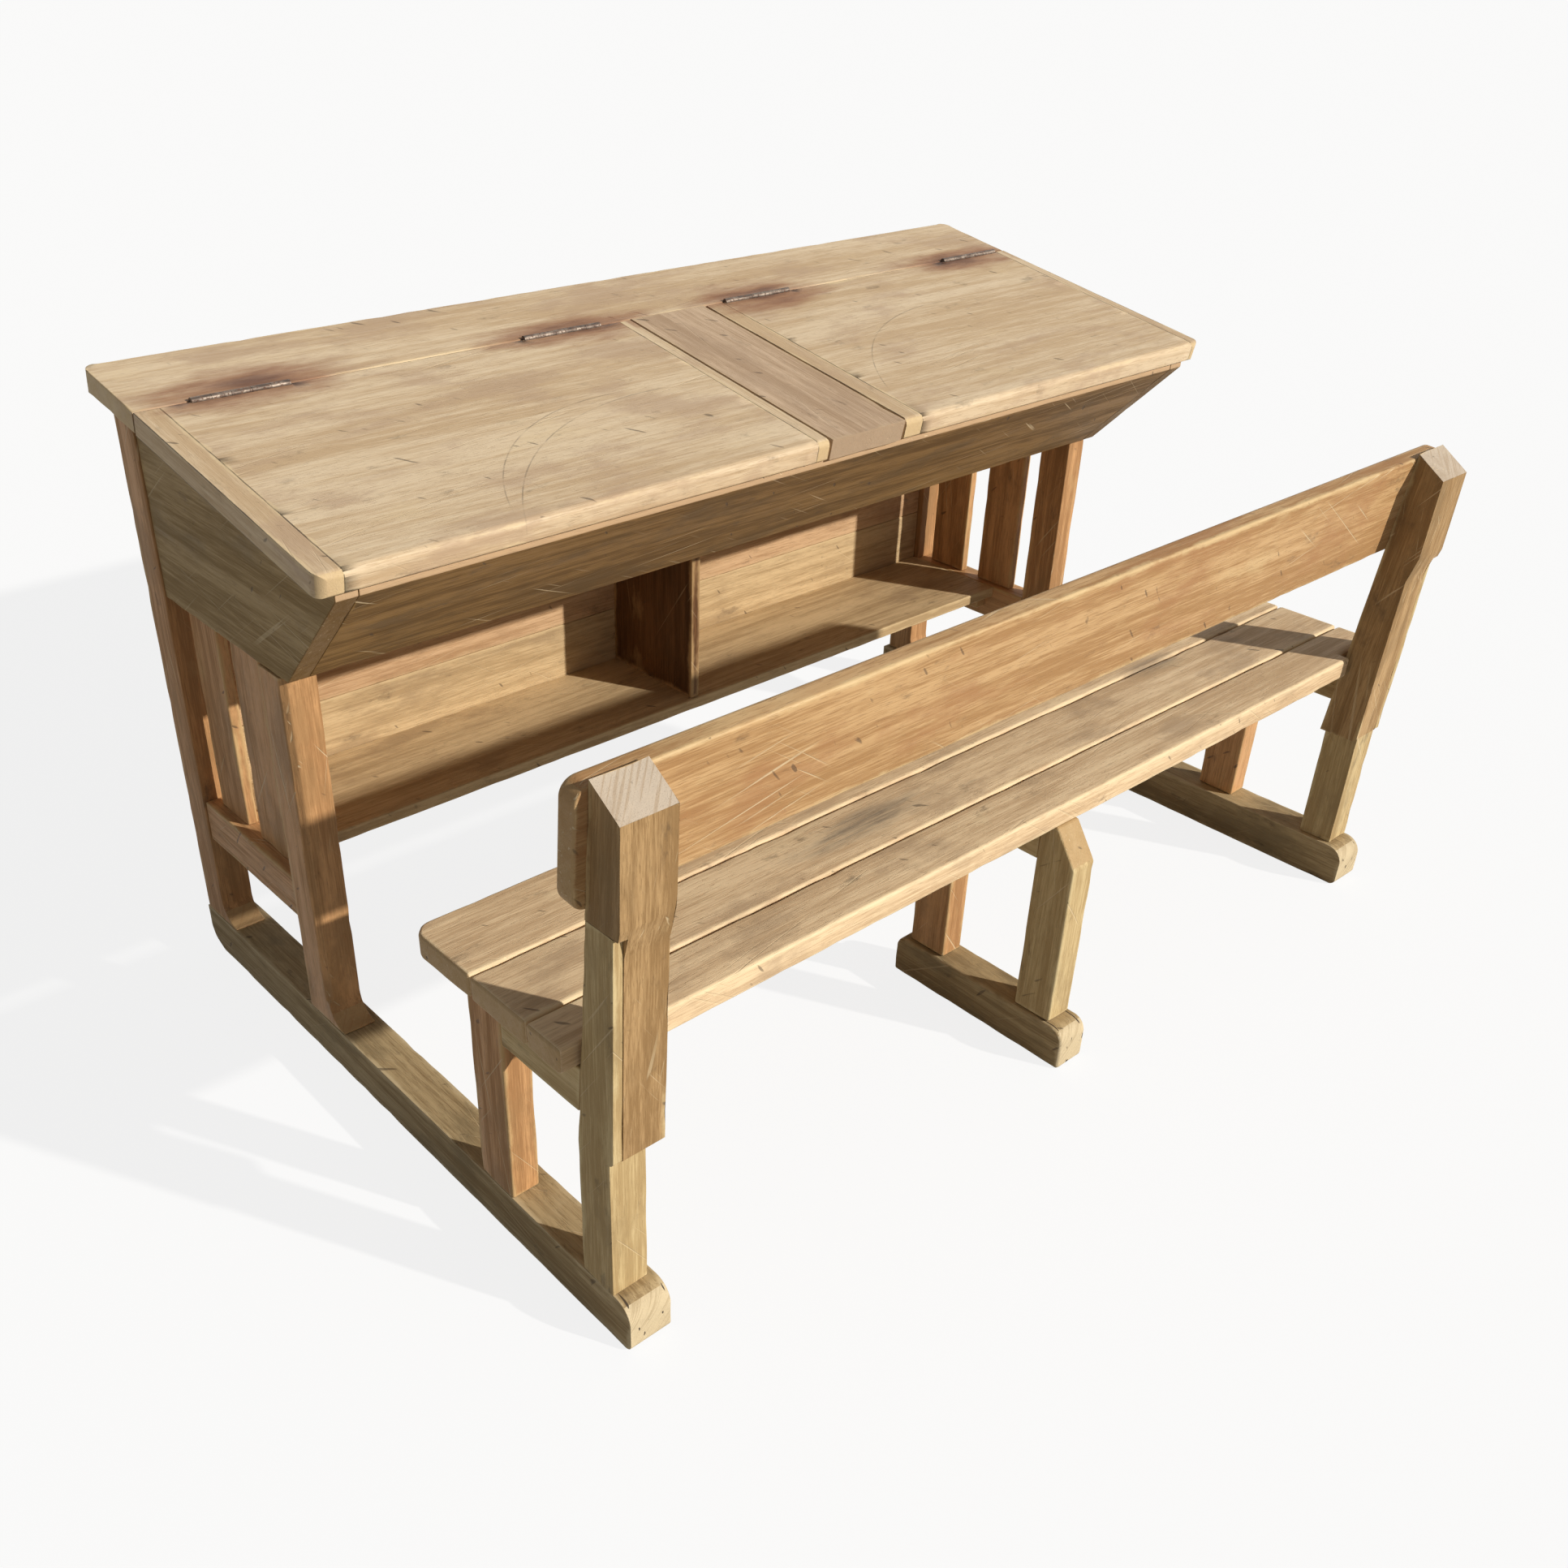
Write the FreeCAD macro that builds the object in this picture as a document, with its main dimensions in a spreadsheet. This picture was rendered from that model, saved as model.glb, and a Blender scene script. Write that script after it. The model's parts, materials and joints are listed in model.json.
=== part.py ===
import FreeCAD, Part
import math
import os
import Sketcher

os.makedirs("parts", exist_ok=True)
doc = FreeCAD.newDocument("school_desk")
sheet = doc.addObject("Spreadsheet::Sheet", "Sizes")

# Driving sizes in millimetres, angles in degrees. Distances along the depth start at the bench end.
SIZES = {
    # End frames
    "frame_width": 1167, "post_thickness": 36, "top_back": 790,
    "runner_thickness": 44, "runner_height": 50, "runner_setback": 8, "runner_heel_radius": 28,
    "runner_nose_radius": 20, "runner_chin_radius": 8,
    "post_setback": 12, "back_post_depth": 42, "post_spacing": 197, "front_post_depth": 44,
    "flare_radius": 25, "flare_toe": 3, "arris_chamfer": 6,
    "rail_bottom": 160, "rail_height": 47, "rail_recess": 2,
    "slat_width": 60, "slat_thickness": 12, "slat_recess": 14, "slat_back_gap": 17, "slat_middle_gap": 29,
    # Desk box, shelf and back
    "box_depth": 218, "panel_thickness": 22, "panel_recess": 2,
    "apron_foot": 10, "apron_run": 112, "apron_lip": 8, "apron_thickness": 18, "bottom_thickness": 12,
    "back_board_thickness": 14, "back_board_setback": 8, "low_board_height": 82, "partition_thickness": 18,
    "shelf_thickness": 14, "shelf_depth": 154, "cleat_size": 18, "cleat_setback": 12,
    "divider_thickness": 13, "divider_offset": -10, "divider_setback": 3,
    # Sloping top
    "top_overhang": 16.5, "top_slope": 10, "top_height": 660, "top_depth": 433, "top_thickness": 22,
    "strip_depth": 107, "seam_gap": 2.6, "corner_radius": 12, "nose_radius": 7, "nose_under_radius": 3,
    "bar_width": 105, "bar_offset": 22.5, "lid_side_gap": 3,
    "left_batten_width": 25, "right_batten_width": 15,
    # Butt hinges
    "hinge_length": 100, "knuckle_radius": 3.5, "knuckle_gap": 0.3, "notch_clearance": 0.4,
    "leaf_thickness": 1.2, "leaf_height": 17, "pin_radius": 1.75, "pin_clearance": 0.05,
    "screw_radius": 1.6, "screw_head_radius": 2.8, "screw_length": 16,
    "left_outer_hinge": 55, "left_inner_hinge": 45, "right_inner_hinge": 32, "right_outer_hinge": 19,
    # Bench
    "bench_overhang": 16.5, "seat_height": 299, "seat_thickness": 25, "seat_back": 48, "seat_slat_gap": 2,
    "front_slat_width": 88, "middle_slat_width": 76, "rear_slat_width": 58, "seat_corner_radius": 18,
    "seat_notch_clearance": 4,
    "bench_leg_thickness": 30, "front_leg_depth": 50, "bearer_length": 105, "bearer_height": 46,
    "rear_leg_near": 23, "rear_leg_depth": 41, "rear_leg_thickness": 37,
    "support_width": 52, "support_bottom": 198, "support_top": 542, "support_lean": 5,
    "support_setback": 0.5, "support_back_lean": 1.8, "support_bevel": 22, "support_toe": 4,
    "support_waist": 7, "waist_top": 432, "waist_foot": 402,
    "tongue_thickness": 9.5, "tongue_top": 422, "tongue_recess": 0.8,
    "backrest_bottom": 430, "backrest_height": 107, "backrest_thickness": 22, "backrest_overhang": 11.5,
    "backrest_radius": 6, "backrest_corner_radius": 15,
    # Middle trestle of the bench
    "middle_offset": 8, "foot_width": 42, "foot_height": 48, "foot_length": 235, "foot_radius": 16,
    "middle_leg_thickness": 30, "middle_front_depth": 48, "middle_rear_near": 22, "middle_rear_depth": 46,
    "middle_rear_thickness": 34, "middle_bevel_height": 38,
    # How far a cutting shape runs past the piece it cuts
    "overrun": 5,
}


class Formula:
    """A number together with the sheet formula it comes from."""

    def __init__(self, text, value):
        self.text = text
        self.value = value

    def joined(self, sign, other, value):
        return Formula(f"({self.text} {sign} {other.text})", value)

    def __add__(self, other):
        other = formula(other)
        return self.joined("+", other, self.value + other.value)

    def __sub__(self, other):
        other = formula(other)
        return self.joined("-", other, self.value - other.value)

    def __mul__(self, other):
        other = formula(other)
        return self.joined("*", other, self.value * other.value)

    def __truediv__(self, other):
        other = formula(other)
        return self.joined("/", other, self.value / other.value)

    def __neg__(self):
        return formula(0) - self


def formula(item):
    return item if isinstance(item, Formula) else Formula(str(item), item)


def sine(angle):
    return Formula(f"sin({angle.text})", math.sin(math.radians(angle.value)))


def cosine(angle):
    return Formula(f"cos({angle.text})", math.cos(math.radians(angle.value)))


def tangent(angle):
    return Formula(f"tan({angle.text})", math.tan(math.radians(angle.value)))


def root(item):
    return Formula(f"sqrt({item.text})", math.sqrt(item.value))


class Dimensions:
    """The sheet's sizes by name."""


size = Dimensions()
for row, (alias, number) in enumerate(SIZES.items(), start=1):
    sheet.set(f"A{row}", alias)
    sheet.set(f"B{row}", str(number))
    sheet.setAlias(f"B{row}", alias)
    setattr(size, alias, Formula(f"Sizes.{alias}", number))
doc.recompute()

nodes = []


def node(name, item):
    item.Label = name
    nodes.append(item)
    return item


def bind(item, entry, value):
    item.setExpression(entry, formula(value).text)


def block(name, x, y, z, length, depth, height):
    """A square-edged block."""
    item = doc.addObject("Part::Box", name)
    entries = ("Placement.Base.x", "Placement.Base.y", "Placement.Base.z", "Length", "Width", "Height")
    for entry, value in zip(entries, (x, y, z, length, depth, height)):
        bind(item, entry, value)
    return item


def board(name, x, y, z, length, depth, height):
    """A square-edged board, its near face a distance y from the bench end."""
    return node(name, block(name + "_board", x, bench_end + y, z, length, depth, height))


def turned(name, kind, axis, angle, x, y, z, entries):
    """A round primitive with its axis turned from upright, its sizes given by property."""
    item = doc.addObject(kind, name)
    item.Placement = FreeCAD.Placement(FreeCAD.Vector(), FreeCAD.Rotation(axis, angle))
    places = {"Placement.Base.x": x, "Placement.Base.y": y, "Placement.Base.z": z}
    for entry, value in {**places, **entries}.items():
        bind(item, entry, value)
    return item


ALONG_X = (FreeCAD.Vector(0, 1, 0), 90)
UPRIGHT = (FreeCAD.Vector(0, 0, 1), 0)
TO_BACK = (FreeCAD.Vector(1, 0, 0), -90)
TO_NEAR = (FreeCAD.Vector(1, 0, 0), 90)


def rod(name, way, x, y, z, radius, length):
    return turned(name, "Part::Cylinder", *way, x, y, z, {"Radius": radius, "Height": length})


def fused(name, shapes):
    item = doc.addObject("Part::MultiFuse", name)
    item.Shapes = shapes
    return item


def grouped(name, shapes):
    item = doc.addObject("Part::Compound", name)
    item.Links = shapes
    return item


def cut(name, base, tools):
    item = doc.addObject("Part::Cut", name)
    item.Base = base
    item.Tool = tools[0] if len(tools) == 1 else fused(name + "_tools", tools)
    return item


def outlined(name, outline, thickness, plane="YZ_Plane"):
    """A body padded from a straight-sided outline drawn on one of its origin planes."""
    body = doc.addObject("PartDesign::Body", name + "_body")
    support = [item for item in body.Origin.OriginFeatures if item.Role == plane][0]
    sketch = body.newObject("Sketcher::SketchObject", name + "_outline")
    sketch.AttachmentSupport = [(support, "")]
    sketch.MapMode = "FlatFace"
    corners = [(formula(across), formula(up)) for across, up in outline]
    points = [FreeCAD.Vector(across.value, up.value, 0) for across, up in corners]
    for start, end in zip(points, points[1:] + points[:1]):
        sketch.addGeometry(Part.LineSegment(start, end))
    for side in range(len(points)):
        following = (side + 1) % len(points)
        sketch.addConstraint(Sketcher.Constraint("Coincident", side, 2, following, 1))
    for side, corner in enumerate(corners):
        for kind, value in zip(("DistanceX", "DistanceY"), corner):
            number = sketch.addConstraint(Sketcher.Constraint(kind, -1, 1, side, 1, value.value))
            bind(sketch, f"Constraints[{number}]", value)
    pad = body.newObject("PartDesign::Pad", name + "_pad")
    pad.Profile = sketch
    bind(pad, "Length", thickness)
    body.Tip = pad
    doc.recompute()
    return body


# An edge passes through a corner when it lies nearer to it than the finest fit in the desk
finest_fit = size.pin_clearance


def softened(body, kind, entry, value, axis, corners):
    """Round or chamfer the edges of a body that run along one axis through the given corners."""
    tip = body.Tip
    names = []
    for number, edge in enumerate(tip.Shape.Edges, start=1):
        middle = list(edge.CenterOfMass)
        run = [abs(end - start) for start, end in zip(edge.Vertexes[0].Point, edge.Vertexes[-1].Point)]
        if max(run) != run[axis]:
            continue
        across = [distance for way, distance in enumerate(middle) if way != axis]
        for corner in corners:
            wanted = [formula(distance).value for distance in corner]
            if math.dist(across, wanted) < finest_fit.value:
                names.append(f"Edge{number}")
    feature = body.newObject(kind, body.Name + "_" + kind.split("::")[1].lower())
    feature.Base = (tip, names)
    bind(feature, entry, value)
    body.Tip = feature
    doc.recompute()
    return body


def rounded(body, value, axis, corners):
    return softened(body, "PartDesign::Fillet", "Radius", value, axis, corners)


def chamfered(body, value, axis, corners):
    return softened(body, "PartDesign::Chamfer", "Size", value, axis, corners)


def stand(body, x):
    """Set a body drawn in the side view at its place across the desk."""
    bind(body, "Placement.Base.x", x)
    bind(body, "Placement.Base.y", bench_end)
    return body


def side_start(side, outer, thickness):
    """Where a piece starts across the desk, when its outer face lies a distance from the middle."""
    return -outer if side == "left" else outer - thickness


# Places shared by several pieces
bench_end = -(size.top_back + size.top_thickness * sine(size.top_slope)) / 2
frame_side = size.frame_width / 2
post_inside = frame_side - size.post_thickness
panel_side = frame_side - size.panel_recess
panel_inside = panel_side - size.panel_thickness
post_back = size.top_back - size.post_setback
post_front = post_back - size.back_post_depth
front_post_back = post_front - size.post_spacing
front_post_near = front_post_back - size.front_post_depth
rail_top = size.rail_bottom + size.rail_height
back_boards = post_front + size.back_board_setback
box_height = size.top_height - size.box_depth
apron_foot = front_post_near - size.apron_foot
apron_head = apron_foot - size.apron_run
box_floor = box_height + size.bottom_thickness


def top_underside(place):
    """Height of the underside of the sloping top over a place along the depth."""
    fall = (size.top_back - place) * tangent(size.top_slope)
    return size.top_height - fall - size.top_thickness / cosine(size.top_slope)


apron_rise = top_underside(apron_head) - size.apron_lip - box_height
apron_slant = root(size.apron_run * size.apron_run + apron_rise * apron_rise)
apron_across = size.apron_thickness * apron_slant / apron_rise
apron_back_foot = apron_foot + apron_across
apron_reach = ((apron_rise + size.apron_lip + (size.apron_run + apron_across) * tangent(size.top_slope))
               / (apron_rise + size.apron_run * tangent(size.top_slope)))
apron_back_head = (apron_back_foot - size.apron_run * apron_reach, box_height + apron_rise * apron_reach)
apron_back_floor = apron_back_foot - size.apron_run * size.bottom_thickness / apron_rise

# End frames
runner_length = size.top_back - size.runner_setback
for side in ("left", "right"):
    outer_x = 0 if side == "left" else size.post_thickness

    runner = outlined(side + "_runner", [(0, 0), (runner_length, 0), (runner_length, size.runner_height),
                                         (0, size.runner_height)], size.runner_thickness)
    rounded(runner, size.runner_heel_radius, 0, [(runner_length, 0)])
    rounded(runner, size.runner_nose_radius, 0, [(0, size.runner_height)])
    rounded(runner, size.runner_chin_radius, 0, [(0, 0)])
    node(side + "_runner", stand(runner, side_start(side, frame_side, size.runner_thickness)))

    floor = size.runner_height
    toe = floor + size.flare_toe + size.flare_radius
    post_x = side_start(side, frame_side, size.post_thickness)
    post_toe = post_front - size.flare_radius
    post = outlined(side + "_back_post", [(post_toe, floor), (post_back, floor),
                                          (post_back, top_underside(post_back)),
                                          (post_front, top_underside(post_front)), (post_front, toe),
                                          (post_toe, toe)], size.post_thickness)
    flare = rod(side + "_back_flare", ALONG_X, post_x - size.overrun, bench_end + post_toe, toe,
                size.flare_radius, size.post_thickness + size.overrun * 2)
    node(side + "_back_post", cut(side + "_back_post_cut", stand(post, post_x), [flare]))

    post_toe = front_post_near - size.flare_radius
    post = outlined(side + "_front_post", [(post_toe, floor), (front_post_back, floor),
                                           (front_post_back, box_height), (front_post_near, box_height),
                                           (front_post_near, toe), (post_toe, toe)], size.post_thickness)
    chamfered(post, size.arris_chamfer, 2, [(outer_x, front_post_near)])
    flare = rod(side + "_front_flare", ALONG_X, post_x - size.overrun, bench_end + post_toe, toe,
                size.flare_radius, size.post_thickness + size.overrun * 2)
    node(side + "_front_post", cut(side + "_front_post_cut", stand(post, post_x), [flare]))

    rail_thickness = size.post_thickness - size.rail_recess
    board(side + "_rail", side_start(side, frame_side - size.rail_recess, rail_thickness), front_post_back,
          size.rail_bottom, rail_thickness, size.post_spacing, size.rail_height)
    slat_near = post_front - size.slat_back_gap
    for name in ("_slat_back", "_slat_front"):
        slat_near = slat_near - size.slat_width
        slat_x = side_start(side, frame_side - size.slat_recess, size.slat_thickness)
        board(side + name, slat_x, slat_near, rail_top, size.slat_thickness, size.slat_width,
              box_height - rail_top)
        slat_near = slat_near - size.slat_middle_gap

    panel = outlined(side + "_side_panel", [(apron_foot, box_height), (post_front, box_height),
                                            (post_front, top_underside(post_front)),
                                            (apron_head, top_underside(apron_head)),
                                            (apron_head, box_height + apron_rise)], size.panel_thickness)
    node(side + "_side_panel", stand(panel, side_start(side, panel_side, size.panel_thickness)))

    board(side + "_shelf_cleat", side_start(side, post_inside, size.cleat_size),
          back_boards - size.shelf_depth + size.cleat_setback,
          rail_top - size.shelf_thickness - size.cleat_size,
          size.cleat_size, size.shelf_depth - size.cleat_setback, size.cleat_size)

# Desk box
apron = outlined("apron", [(apron_foot, box_height), (apron_back_foot, box_height), apron_back_head,
                           (apron_head, top_underside(apron_head)),
                           (apron_head, box_height + apron_rise)], panel_inside * 2)
node("apron", stand(apron, -panel_inside))

bottom = outlined("box_bottom", [(apron_back_foot, box_height), (back_boards, box_height),
                                 (back_boards, box_floor), (apron_back_floor, box_floor)], panel_inside * 2)
post_notches = []
for side in ("left", "right"):
    notch_width = panel_inside - post_inside + size.overrun
    notch_x = side_start(side, panel_inside + size.overrun, notch_width)
    post_notches.append(block(side + "_bottom_notch", notch_x, bench_end + post_front,
                              box_height - size.overrun, notch_width, size.back_board_setback + size.overrun,
                              size.bottom_thickness + size.overrun * 2))
node("box_bottom", cut("box_bottom_cut", stand(bottom, -panel_inside), post_notches))

board_back = back_boards + size.back_board_thickness
box_back = outlined("box_back", [(back_boards, box_height), (board_back, box_height),
                                 (board_back, top_underside(board_back)),
                                 (back_boards, top_underside(back_boards))], post_inside * 2)
node("box_back", stand(box_back, -post_inside))

partition = outlined("box_partition", [(apron_back_floor, box_floor), (back_boards, box_floor),
                                       (back_boards, top_underside(back_boards)), apron_back_head],
                     size.partition_thickness)
node("box_partition", stand(partition, size.bar_offset - size.partition_thickness / 2))

# Back boards, shelf and its divider
shelf_bottom = rail_top - size.shelf_thickness
low_board_top = shelf_bottom + size.low_board_height
board("back_board_lower", -post_inside, back_boards, shelf_bottom, post_inside * 2, size.back_board_thickness,
      size.low_board_height)
board("back_board_upper", -post_inside, back_boards, low_board_top, post_inside * 2,
      size.back_board_thickness, box_height - low_board_top)
board("shelf", -post_inside, back_boards - size.shelf_depth, shelf_bottom, post_inside * 2, size.shelf_depth,
      size.shelf_thickness)
board("shelf_divider", size.divider_offset - size.divider_thickness / 2,
      back_boards - size.shelf_depth + size.divider_setback, rail_top, size.divider_thickness,
      size.shelf_depth - size.divider_setback, box_height - rail_top)

# Sloping top, drawn flat with its nose at the front and its underside below, then laid on the slope
top_side = frame_side + size.top_overhang
seam_back = size.top_depth - size.strip_depth
seam_front = seam_back - size.seam_gap
hinge_line = seam_back - size.seam_gap / 2
leaf_foot = size.top_thickness - size.leaf_height
notch_radius = size.knuckle_radius + size.notch_clearance
bar_left = size.bar_offset - size.bar_width / 2
bar_right = size.bar_offset + size.bar_width / 2


def laid(item):
    item.Placement = FreeCAD.Placement(FreeCAD.Vector(), FreeCAD.Rotation(TO_NEAR[0], size.top_slope.value))
    bind(item, "Placement.Base.y", bench_end + size.top_back - size.top_depth * cosine(size.top_slope)
         + size.top_thickness * sine(size.top_slope))
    bind(item, "Placement.Base.z", size.top_height - size.top_depth * sine(size.top_slope)
         - size.top_thickness * cosine(size.top_slope))
    bind(item, "Placement.Rotation.Angle", size.top_slope)
    return item


KNUCKLES = 5
SCREW_SHARES = (0.18, 0.5, 0.82)
knuckle_length = (size.hinge_length - size.knuckle_gap * (KNUCKLES - 1)) / KNUCKLES


def knuckle_start(start, number):
    return start + (knuckle_length + size.knuckle_gap) * number


def hinge_leaf(name, start, inner_face, way, own, bore):
    """One leaf of a butt hinge with its knuckles, and its screws driven the given way."""
    plate_y = inner_face if way == TO_BACK else inner_face - size.leaf_thickness
    plate = block(name + "_plate", start, plate_y, leaf_foot, size.hinge_length, size.leaf_thickness,
                  size.leaf_height)
    gaps = []
    knuckles = []
    for number in range(KNUCKLES):
        place = knuckle_start(start, number)
        if number in own:
            knuckles.append(rod(f"{name}_knuckle_{number}", ALONG_X, place, hinge_line, size.top_thickness,
                                size.knuckle_radius, knuckle_length))
        else:
            gaps.append(rod(f"{name}_clear_{number}", ALONG_X, place - size.knuckle_gap, hinge_line,
                            size.top_thickness, notch_radius, knuckle_length + size.knuckle_gap * 2))
    screws = []
    screw_height = leaf_foot + (size.leaf_height - notch_radius) / 2
    for number, share in enumerate(SCREW_SHARES):
        place = (start + size.hinge_length * share, inner_face, screw_height)
        head = turned(f"{name}_head_{number}", "Part::Cone", *way, *place,
                      {"Radius1": size.screw_head_radius, "Radius2": size.screw_radius,
                       "Height": size.leaf_thickness})
        shank = rod(f"{name}_shank_{number}", way, *place, size.screw_radius, size.screw_length)
        screws.append(fused(f"{name}_screw_{number}", [head, shank]))
    bore_rod = rod(name + "_bore", ALONG_X, start - size.overrun, hinge_line, size.top_thickness, bore,
                   size.hinge_length + size.overrun * 2)
    leaf = fused(name + "_joined", [cut(name + "_cleared", plate, gaps)] + knuckles)
    return {"leaf": cut(name + "_bored", leaf, [bore_rod] + screws), "plate": plate, "screws": screws}


def hinge(name, start):
    bore = size.pin_radius + size.pin_clearance
    fixed = hinge_leaf(name + "_fixed", start, seam_back, TO_BACK, (0, 2, 4), size.pin_radius)
    moving = hinge_leaf(name + "_moving", start, seam_front, TO_NEAR, (1, 3), bore)
    pin = rod(name + "_pin", ALONG_X, start, hinge_line, size.top_thickness, size.pin_radius,
              size.hinge_length)
    notch = rod(name + "_notch", ALONG_X, start - size.notch_clearance, hinge_line, size.top_thickness,
                notch_radius, size.hinge_length + size.notch_clearance * 2)
    return {"fixed": fixed, "moving": moving, "pin": pin, "notch": notch}


hinges = {
    "left": [hinge("left_outer_hinge", size.left_outer_hinge - top_side),
             hinge("left_inner_hinge", bar_left - size.left_inner_hinge - size.hinge_length)],
    "right": [hinge("right_inner_hinge", bar_right + size.right_inner_hinge),
              hinge("right_outer_hinge", top_side - size.right_outer_hinge - size.hinge_length)],
}


def seam_cuts(pair, half):
    """What the hinges take out of the edge that a set of leaves is let into."""
    cuts = []
    for item in pair:
        cuts += [item[half]["plate"], item["notch"]] + item[half]["screws"]
    return cuts


strip = outlined("back_strip", [(seam_back, 0), (size.top_depth, 0), (size.top_depth, size.top_thickness),
                                (seam_back, size.top_thickness)], top_side * 2)
rounded(strip, size.corner_radius, 2, [(0, size.top_depth), (top_side * 2, size.top_depth)])
bind(strip, "Placement.Base.x", -top_side)
node("back_strip", laid(cut("back_strip_cut", strip, seam_cuts(hinges["left"] + hinges["right"], "fixed"))))
bar = block("centre_bar_block", bar_left, 0, 0, size.bar_width, seam_back, size.top_thickness)
node("centre_bar", laid(grouped("centre_bar_laid", [bar])))


def lid_board(name, start, end):
    piece = outlined(name, [(0, 0), (seam_front, 0), (seam_front, size.top_thickness),
                            (0, size.top_thickness)], end - start)
    rounded(piece, size.nose_radius, 0, [(0, size.top_thickness)])
    rounded(piece, size.nose_under_radius, 0, [(0, 0)])
    bind(piece, "Placement.Base.x", start)
    return piece


def corner_tool(name, side):
    """What is taken off an outer front corner of a lid to round it in plan."""
    centre = -top_side + size.corner_radius if side == "left" else top_side - size.corner_radius
    width = size.corner_radius + size.overrun
    start = -top_side - size.overrun if side == "left" else centre
    height = size.top_thickness + size.overrun * 2
    square = block(name + "_square", start, -size.overrun, -size.overrun, width, width, height)
    return cut(name, square, [rod(name + "_round", UPRIGHT, centre, size.corner_radius, -size.overrun,
                                  size.corner_radius, height)])


lid_spans = {"left": (-top_side, bar_left - size.lid_side_gap),
             "right": (bar_right + size.lid_side_gap, top_side)}
for side, (start, end) in lid_spans.items():
    panel_start = start + size.left_batten_width
    panel_end = end - size.right_batten_width
    panel = lid_board(side + "_lid_panel", panel_start, panel_end)
    node(side + "_lid_panel", laid(cut(side + "_lid_panel_cut", panel, seam_cuts(hinges[side], "moving"))))
    battens = {"left": (start, panel_start), "right": (panel_end, end)}
    for place, span in battens.items():
        name = f"{side}_lid_batten_{'outer' if place == side else 'inner'}"
        batten = lid_board(name, *span)
        if place == side:
            node(name, laid(cut(name + "_cut", batten, [corner_tool(name + "_corner", side)])))
        else:
            node(name, laid(grouped(name + "_laid", [batten])))
    pair = hinges[side]
    for half in ("fixed", "moving"):
        leaves = grouped(f"{side}_{half}_leaves", [item[half]["leaf"] for item in pair])
        node(f"{side}_hinge_{half}_leaves", laid(leaves))
    node(side + "_hinge_pins", laid(grouped(side + "_pins", [item["pin"] for item in pair])))
    node(side + "_lid_screws", laid(grouped(side + "_lid_screw_set",
                                            sum([item["moving"]["screws"] for item in pair], []))))
strip_screws = [screw for pair in hinges.values() for item in pair for screw in item["fixed"]["screws"]]
node("strip_screws", laid(grouped("strip_screw_set", strip_screws)))

# Bench seat
seat_side = frame_side + size.bench_overhang
seat_bottom = size.seat_height - size.seat_thickness
rear_slat_front = size.seat_back + size.rear_slat_width
middle_slat_back = rear_slat_front + size.seat_slat_gap
front_slat_back = middle_slat_back + size.middle_slat_width + size.seat_slat_gap
seat_front = front_slat_back + size.front_slat_width
front_slat = outlined("seat_slat_front", [(0, 0), (seat_side * 2, 0), (seat_side * 2, size.front_slat_width),
                                          (0, size.front_slat_width)], size.seat_thickness, "XY_Plane")
rounded(front_slat, size.seat_corner_radius, 2, [(0, size.front_slat_width),
                                                 (seat_side * 2, size.front_slat_width)])
for entry, value in zip("xyz", (-seat_side, bench_end + front_slat_back, seat_bottom)):
    bind(front_slat, "Placement.Base." + entry, value)
node("seat_slat_front", front_slat)
board("seat_slat_middle", -seat_side, middle_slat_back, seat_bottom, seat_side * 2, size.middle_slat_width,
      size.seat_thickness)

rear_leg_front = size.rear_leg_near + size.rear_leg_depth
front_leg_near = rear_leg_front + size.bearer_length
support_inside = frame_side - size.support_width
bevel_foot = size.support_top - size.support_bevel
toe_top = size.support_bottom + size.support_toe


def support_front(height):
    """Where the desk side of a leaning support stands at a height."""
    return rear_leg_front - (height - size.support_bottom) * tangent(size.support_lean)


def support_back(height):
    """Where the back of a leaning support stands at a height."""
    return size.support_setback + (bevel_foot - height) * tangent(size.support_back_lean)


def support_waist(height):
    """Where the back of a support stands below its waist, where it is cut thinner."""
    return support_back(height) + size.support_waist


notch_front = support_front(seat_bottom) + size.seat_notch_clearance
notch_inside = support_inside - size.seat_notch_clearance
rear_slat = outlined("seat_slat_rear",
                     [(seat_side - notch_inside, size.seat_back), (seat_side + notch_inside, size.seat_back),
                      (seat_side + notch_inside, notch_front), (seat_side * 2, notch_front),
                      (seat_side * 2, rear_slat_front), (0, rear_slat_front), (0, notch_front),
                      (seat_side - notch_inside, notch_front)], size.seat_thickness, "XY_Plane")
for entry, value in zip("xyz", (-seat_side, bench_end, seat_bottom)):
    bind(rear_slat, "Placement.Base." + entry, value)
node("seat_slat_rear", rear_slat)

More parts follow.
